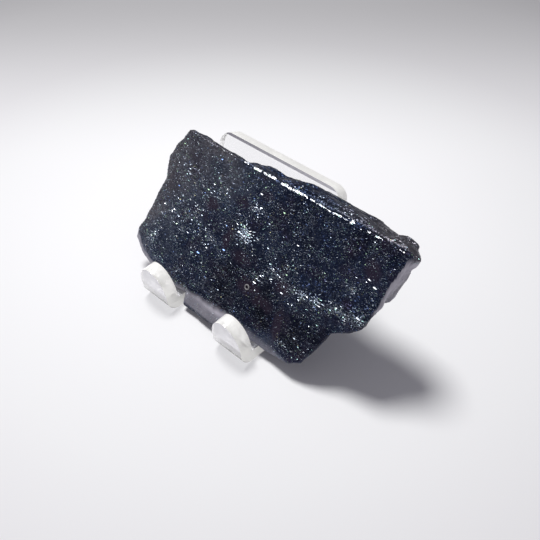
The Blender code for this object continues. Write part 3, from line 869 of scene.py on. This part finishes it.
def scatter(tree, name, surface, material, **values):
    """Runs the scatter tree on a copy of the surface and keeps the plates as a mesh on the slab's body."""
    bed = new_piece(name + "_bed", surface.copy())
    made = bed.modifiers.new("scatter", "NODES")
    made.node_group = tree
    values = {"Material": material, **values}
    for socket in tree.interface.items_tree:
        if socket.in_out == "INPUT" and socket.name in values:
            made[socket.identifier] = values[socket.name]
    mesh = evaluated_copy(bed, name)
    drop(bed)
    piece = new_piece(name, mesh)
    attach(piece, BODY)


def sliver(bm, tints, place, along, long, wide, tint):
    """One plate that faces the lamp's flash: a pointed hexagon, a little above the stone."""
    facing = Vector(FLASH_FACING).normalized()
    run = (along - facing * along.dot(facing)).normalized() * long / 2
    side = facing.cross(run).normalized() * wide / 2
    ring = [run, run / 2 + side, -run / 2 + side, -run, -run / 2 - side, run / 2 - side]
    made = [bm.verts.new((place + corner + facing * FLASH_PROUD) * MM) for corner in ring]
    face = bm.faces.new(made)
    if face.normal.dot(facing) < 0:
        face.normal_flip()
    tints += [tint] * len(ring)


def spread_flashes():
    """Large plates set evenly over the face by a rule, between the ones that stand out."""
    (left, right), (low, high) = FLASH_FIELD
    for index in range(1, MORE_FLASHES + 1):
        across = left + (right - left) * (FLASH_STEP[0] * index % 1)
        up = low + (high - low) * (FLASH_STEP[1] * index % 1)
        long, tint = [least + step * (index % count) for least, step, count in (FLASH_LENGTHS, FLASH_TINTS)]
        yield across, up, long, tint


def flashes(material):
    """The largest plates of the face: those that stand out, those between them, and the bursts."""
    bm = bmesh.new()
    tints = []
    into = slab_frame()

    def on_face(across, up):
        return into @ Vector((across, up, -front_relief(across, up))) / MM

    for across, up, long, tint in FLASHES + list(spread_flashes()):
        slant = Vector((1, 0, FLASH_SLANT * noise.noise(Vector((across, up, 2)))))
        sliver(bm, tints, on_face(across, up), slant, long, FLASH_SLIM * long, tint)
    for x, y, reach, count in BURSTS:
        for index in range(count):
            turn = GOLDEN_TURN * index
            away = reach * (BURST_START + (1 - BURST_START) * index / count)
            across, up = x + away * cos(turn), y + BURST_FLATNESS * away * sin(turn)
            outward = on_face(across, up) - on_face(x, y)
            shortest, more = BURST_LENGTHS
            long = shortest + more * (0.5 + noise.noise(Vector((index, x, 1)) * 1.7))
            tint = (BURST_TINT_STEP * index) % 1
            sliver(bm, tints, on_face(across, up), outward, long, BURST_WIDTH, tint)
    mesh = bpy.data.meshes.new("largest_plates")
    bm.normal_update()
    bm.to_mesh(mesh)
    bm.free()
    store(mesh, "tint", tints)
    piece = new_piece("largest_plates", mesh, material)
    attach(piece, BODY)


def slab():
    surface, places = slab_mesh()
    for vert, place in zip(surface.vertices, places):
        vert.co = place
    mark_surface(surface)
    surface.transform(slab_frame())
    surface.flip_normals()
    surface.shade_smooth()
    stone = new_piece("hematite_slab_surface", surface, micaceous_hematite())
    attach(stone, BODY)
    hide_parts("hematite_slab")

    ring_of_pit()
    flashes(loose_plates_material("hematite_largest_plates", 0.5, "#6f7987", "#98a2ae", "#d6dbe2"))

    tree = plates_tree()
    plates = loose_plates_material("hematite_plates", 0.4, "#4d5665", "#808a99", "#bcc3cc")
    bright = loose_plates_material("hematite_bright_plates", 0.3, "#6d7686", "#a7b0bd", "#e6eaf0")
    fresh = loose_plates_material("hematite_fresh_break", 0.45, "#dfe3ea", "#eef0f4", "#f7f8fa")
    # densities are plates on a square metre
    scatter(tree, "plates_of_front", surface, plates, Where="front", Everywhere=0.0, Density=13e6,
            Smallest=0.06 * MM, Largest=0.18 * MM, Stretch=1.9, Corners=3, Lean=(0.05, -0.1, 0.35),
            Spread=0.95, Seed=11)
    scatter(tree, "plates_of_back", surface, plates, Where="rind", Everywhere=1.0, Density=3.4e6,
            Smallest=0.08 * MM, Largest=0.22 * MM, Stretch=1.4, Corners=4, Lean=(0.0, 0.0, 0.0),
            Spread=0.8, Seed=5)
    scatter(tree, "plates_of_bright_fields", surface, bright, Where="bright", Everywhere=0.0, Density=20e6,
            Smallest=0.07 * MM, Largest=0.2 * MM, Stretch=2.8, Corners=5, Lean=(0.15, 0.5, 0.6),
            Spread=0.6, Seed=23)
    scatter(tree, "plates_of_edge", surface, fresh, Where="glint", Everywhere=0.0, Density=70e6,
            Smallest=0.07 * MM, Largest=0.17 * MM, Stretch=2.4, Corners=6, Lean=(0.5, -1.2, 4.0),
            Spread=0.5, Seed=31)


def sheet_section(corners, bends, thickness):
    """The outline of a bent sheet from its middle line: corners (y, z) and the bend radius at each."""
    middle = []
    for index, corner in enumerate(corners):
        here = Vector(corner)
        if index in (0, len(corners) - 1):
            near = Vector(corners[1] if index == 0 else corners[-2])
            along = (near - here).normalized() * (1 if index == 0 else -1)
            middle.append((here, Vector((-along.y, along.x))))
            continue
        before = (here - Vector(corners[index - 1])).normalized()
        after = (Vector(corners[index + 1]) - here).normalized()
        turn = before.angle_signed(after)
        start = here - before * (bends[index] * tan(abs(turn) / 2))
        side = 1 if turn < 0 else -1
        normal = Vector((-before.y, before.x))
        centre = start + normal * (bends[index] * side)
        for step in range(BEND_STEPS + 1):
            turned = Matrix.Rotation(-turn * step / BEND_STEPS, 2) @ normal
            middle.append((centre - turned * (bends[index] * side), turned))
    left = [point + normal * thickness / 2 for point, normal in middle]
    right = [point - normal * thickness / 2 for point, normal in middle]
    return [tuple(point) for point in left + right[::-1]]


def plate_point(up, behind=0.0):
    """A point (y, z) up the plate's front face from the floor line, and behind it through the sheet."""
    return (LEDGE_DEPTH + up * sin(PLATE_LEAN) + behind * cos(PLATE_LEAN),
            up * cos(PLATE_LEAN) - behind * sin(PLATE_LEAN))


def lip_point(up, behind=0.0):
    return (-up * sin(LIP_LEAN) + behind * cos(LIP_LEAN), up * cos(LIP_LEAN) + behind * sin(LIP_LEAN))


def arc(across, up, wide, tall, start, end):
    """Points on an oval arc, of half widths wide and tall."""
    turns = [start + (end - start) * step / ROUND_STEPS for step in range(ROUND_STEPS + 1)]
    return [(across + wide * cos(turn), up + tall * sin(turn)) for turn in turns]


SIDE_VIEW = Matrix(((0, 0, 1, 0), (1, 0, 0, 0), (0, 1, 0, 0), (0, 0, 0, 1)))


def leaning_view(foot, lean):
    """A frame whose plane is a leaning face: its first axis is X, its second runs up the face."""
    return Matrix(((1, 0, 0, 0), (0, lean[0], lean[1], foot), (0, lean[1], -lean[0], 0), (0, 0, 0, 1)))


def solid(name, outline, depth, view, shift=(0, 0, 0)):
    mesh = outline_mesh(name, outline, depth)
    mesh.transform(Matrix.Translation(shift) @ view)
    with edited(mesh) as bm:
        bmesh.ops.recalc_face_normals(bm, faces=bm.faces)
    return new_piece(name, mesh)


def easel_mesh():
    """The bent sheet with its window, flanks, lips and tongue, in millimetres from the stand's middle."""
    half = SHEET / 2
    lip_foot = (half - half * sin(LIP_LEAN)) / cos(LIP_LEAN)
    plate_foot = (half + half * sin(PLATE_LEAN)) / cos(PLATE_LEAN)
    corners = [lip_point(LIP_LENGTH, half), lip_point(lip_foot, half), plate_point(plate_foot, half),
               plate_point(PLATE_LENGTH, half)]
    section = sheet_section(corners, [0, LIP_BEND, PLATE_BEND, 0], SHEET)
    sheet = solid("sheet", section, PLATE_WIDTH, SIDE_VIEW)
    # what cuts it reaches well past the sheet
    far, deep = 30.0, 15.0
    cuts = []
    window = [(-6, -3), (far, -3), plate_point(WINDOW_TOP, 6), plate_point(WINDOW_TOP, -9), (-6, deep)]
    cuts.append(solid("window", window, PRONG_SPAN - 2 * PRONG_WIDTH, SIDE_VIEW))
    flank = [(-6, -3), (far, -3), (far, 3.6), (12, 3.6), (12, deep), (-6, deep)]
    lip_view = leaning_view(0, (-sin(LIP_LEAN), cos(LIP_LEAN)))
    plate_view = leaning_view(LEDGE_DEPTH, (sin(PLATE_LEAN), cos(PLATE_LEAN)))
    shoulder = PLATE_LENGTH - PLATE_CORNER
    for side in (-1, 1):
        cuts.append(solid("flank", flank, 2 * SHEET, SIDE_VIEW, (side * (PRONG_SPAN / 2 + SHEET), 0, 0)))
        middle = side * (PRONG_SPAN - PRONG_WIDTH) / 2
        radius = PRONG_WIDTH / 2
        round_from = LIP_LENGTH - LIP_ROUND
        beyond = radius + SHEET / 2
        lip = [(middle - beyond, round_from)] + arc(middle, round_from, radius, LIP_ROUND, pi, 0)
        lip += [(middle + beyond, round_from), (middle + beyond, LIP_LENGTH + SHEET),
                (middle - beyond, LIP_LENGTH + SHEET)]
        cuts.append(solid("lip_round", lip, 4 * SHEET, lip_view))
        corner_x = side * (PLATE_WIDTH / 2 - PLATE_CORNER)
        corner = arc(corner_x, shoulder, PLATE_CORNER, PLATE_CORNER, pi / 2, 0 if side > 0 else pi)
        corner += [(side * PLATE_WIDTH, shoulder), (side * PLATE_WIDTH, PLATE_LENGTH + SHEET),
                   (corner_x, PLATE_LENGTH + SHEET)]
        cuts.append(solid("corner_round", corner, 4 * SHEET, plate_view))
    bend = Vector(plate_point(TONGUE_BEND_AT, half))
    reach = (bend.y + SHEET) / cos(TONGUE_SPREAD)
    foot = bend + Vector((sin(TONGUE_SPREAD), -cos(TONGUE_SPREAD))) * reach
    line = [plate_point(WINDOW_TOP + SHEET, half), tuple(bend), tuple(foot)]
    section = sheet_section(line, [0, TONGUE_BEND, 0], TONGUE_SHEET)
    tongue = solid("tongue", section, TONGUE_WIDTH, SIDE_VIEW)
    under_floor = [(-12, -18), (3 * far, -18), (3 * far, 0), (-12, 0)]
    below = solid("below", under_floor, 2 * PLATE_WIDTH, SIDE_VIEW)
    steps = [(cut, "DIFFERENCE") for cut in cuts] + [(tongue, "UNION"), (below, "DIFFERENCE")]
    for item, operation in steps:
        step = sheet.modifiers.new(item.name, "BOOLEAN")
        step.operation = operation
        step.object = item
    polish = sheet.modifiers.new("polished_edges", "BEVEL")
    polish.width = POLISHED_EDGE
    polish.segments = 3
    polish.limit_method = "ANGLE"
    polish.angle_limit = radians(35)
    mesh = evaluated_copy(sheet, "easel_sheet")
    drop(sheet, tongue, below, *cuts)
    return mesh


def acrylic(name, colour, clearness, roughness, shade, painted_glow, far_colour):
    """Cast acrylic sheet. Lamps and the floor's light pass straight through it, with a faint grey shadow.

    The glow is painted light: an emission from the sheet, which is no lamp, on its cut edges and lip faces. A
    far colour makes it change along the stand: painted shade that lightens toward the right.
    """
    made, tree = new_material(name)
    body = add(tree, "ShaderNodeBsdfPrincipled", Base_Color=linear(colour), Roughness=roughness, IOR=1.49)
    body.inputs["Transmission Weight"].default_value = clearness
    if far_colour:
        place = add(tree, "ShaderNodeTexCoord").outputs["Object"]
        along = add(tree, "ShaderNodeSeparateXYZ", Vector=place).outputs["X"]
        left, right = [STAND_X + side * PLATE_WIDTH / 2 * MM for side in (-1, 1)]
        along = add(tree, "ShaderNodeMapRange", Value=along, i1=left, i2=right).outputs[0]
        fading = blend(tree, along, linear(colour), linear(far_colour))
        tree.links.new(fading, body.inputs["Base Color"])
    # painted glow: light given off by a sheet that is no lamp
    body.inputs["Emission Color"].default_value = linear(colour)
    body.inputs["Emission Strength"].default_value = painted_glow
    through = add(tree, "ShaderNodeBsdfTransparent", Color=(shade, shade, shade, 1))
    path = add(tree, "ShaderNodeLightPath").outputs
    lamp = numbers(tree, "MAXIMUM", path["Is Shadow Ray"], path["Is Diffuse Ray"])
    mixed = add(tree, "ShaderNodeMixShader", i0=lamp, i1=body.outputs[0], i2=through.outputs[0])
    add(tree, "ShaderNodeOutputMaterial", Surface=mixed.outputs[0])
    return made


def finish_of(place, normal):
    """Which finish a face of the sheet has, from where it lies and how it is turned."""
    lip = place.y < SHEET + LIP_REACH and place.z > SHEET
    plate = place.y > LEDGE_DEPTH and place.z > WINDOW_TOP - 1
    toward = normal.dot(PLATE_FACE if plate else LIP_FACE)
    cut = abs(normal.x) > CUT_SIDEWAYS or ((lip or plate) and abs(toward) < CUT_ACROSS)
    at_top = plate and place.z > plate_point(PLATE_LENGTH - DARK_LINE)[1]
    # the dark line: a strip of painted shade on the plate's rear face under its top edge
    if at_top and toward < REAR_SIDE and not cut:
        return SHADE_LINE
    # the bevels get the painted grey outlines
    if (lip or plate) and BEVEL_TURN[0] < abs(toward) < BEVEL_TURN[1]:
        return BEVEL
    if cut:
        return PLATE_EDGE if plate else LIP_EDGE
    return LIP_FRONT if lip else CLEAR


def easel():
    mesh = easel_mesh()
    # divides the plate's face where the painted dark line begins
    line = (0, *plate_point(PLATE_LENGTH - DARK_LINE))
    cleave(mesh, line, (0, sin(PLATE_LEAN), cos(PLATE_LEAN)), breaks=False)
    mesh.transform(Matrix.Translation(STAND) @ Matrix.Scale(MM, 4))
    piece = new_piece("easel_bent_sheet", mesh)
    for finish in FINISHES:
        mesh.materials.append(acrylic(*finish))
    for face in mesh.polygons:
        face.material_index = finish_of((face.center - STAND) / MM, face.normal)
    mesh.shade_smooth()
    mesh.set_sharp_from_angle(angle=radians(30))
    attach(piece, BODY)
    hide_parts("easel")


def paper_material():
    """Matt paper, painted darker away from one place and toward the back: a painted pool of light.

    It gives off a very small light of its own, which stands for what a room's walls send into the shadow.
    """
    paper, tree = new_material("studio_paper")
    place = add(tree, "ShaderNodeTexCoord").outputs["Object"]
    lit = stand(FLOOR_BRIGHTEST)
    # the painted pool of light: the colour darkens with distance from the brightest place, and toward the
    # back
    away = add(tree, "ShaderNodeVectorMath", {"operation": "DISTANCE"}, i0=place, i1=(lit.x, lit.y, 0))
    far = numbers(tree, "DIVIDE", away.outputs["Value"], FLOOR_REACH * MM)
    to_back = (-sin(CAMERA_AZIMUTH), cos(CAMERA_AZIMUTH), 0)
    behind = add(tree, "ShaderNodeVectorMath", {"operation": "DOT_PRODUCT"}, i0=place, i1=to_back)
    dimmed = add(tree, "ShaderNodeMapRange", {"interpolation_type": "SMOOTHSTEP"},
                 Value=behind.outputs["Value"], i1=BACK_SHADE_FROM * MM, i2=BACK_SHADE_TO * MM, i3=1.0, i4=BACK_SHADE)
    colour = scaled(tree, ramp(tree, far, FLOOR_PAINTED_FALLOFF), dimmed.outputs[0])
    shader = add(tree, "ShaderNodeBsdfPrincipled", Base_Color=colour, Roughness=0.95)
    shader.inputs["Specular IOR Level"].default_value = 0.1
    shader.inputs["Emission Color"].default_value = linear(SHADOW_TINT)
    shader.inputs["Emission Strength"].default_value = SHADOW_LIFT
    add(tree, "ShaderNodeOutputMaterial", Surface=shader.outputs[0])
    return paper


def paper_floor():
    mesh = bpy.data.meshes.new("paper_floor")
    with edited(mesh) as bm:
        bmesh.ops.create_grid(bm, x_segments=1, y_segments=1, size=FLOOR_SIZE)
    floor = new_piece("paper_floor", mesh, paper_material())
    floor.location.z = -FLOOR_BELOW * MM


def key_lamp():
    """One round lamp above, a little to the left."""
    key = bpy.data.lights.new("key", "AREA")
    key.shape = "DISK"
    key.size = KEY_SIZE * MM
    key.energy = KEY_WATTS
    lamp = new_piece("key", key)
    toward = Vector(KEY_TOWARD).normalized()
    lamp.location = stand(CAMERA_TARGET) + toward * KEY_DISTANCE * MM
    lamp.rotation_mode = "QUATERNION"
    lamp.rotation_quaternion = toward.to_track_quat("Z", "Y")


def dim_room():
    world = bpy.data.worlds.new("dim_room")
    bpy.context.scene.world = world
    world.use_nodes = True
    tree = world.node_tree
    tree.nodes.clear()
    facing = add(tree, "ShaderNodeTexCoord").outputs["Generated"]
    height = add(tree, "ShaderNodeSeparateXYZ", Vector=facing).outputs["Z"]
    dim = add(tree, "ShaderNodeBackground", Color=ramp(tree, height, ROOM), Strength=1.0)
    add(tree, "ShaderNodeOutputWorld", Surface=dim.outputs[0])


def camera():
    view = bpy.data.cameras.new("camera")
    view.lens = CAMERA_LENS
    view.sensor_width = SENSOR
    view.clip_start = 5 * MM
    made = new_piece("camera", view)
    level = cos(CAMERA_ELEVATION)
    back = Vector((sin(CAMERA_AZIMUTH) * level, -cos(CAMERA_AZIMUTH) * level, sin(CAMERA_ELEVATION)))
    made.location = stand(CAMERA_TARGET) + back * CAMERA_DISTANCE * MM
    made.rotation_mode = "QUATERNION"
    made.rotation_quaternion = back.to_track_quat("Z", "Y")
    bpy.context.scene.camera = made
    bpy.context.scene.view_settings.view_transform = "Standard"


slab()
easel()
paper_floor()
key_lamp()
dim_room()
camera()
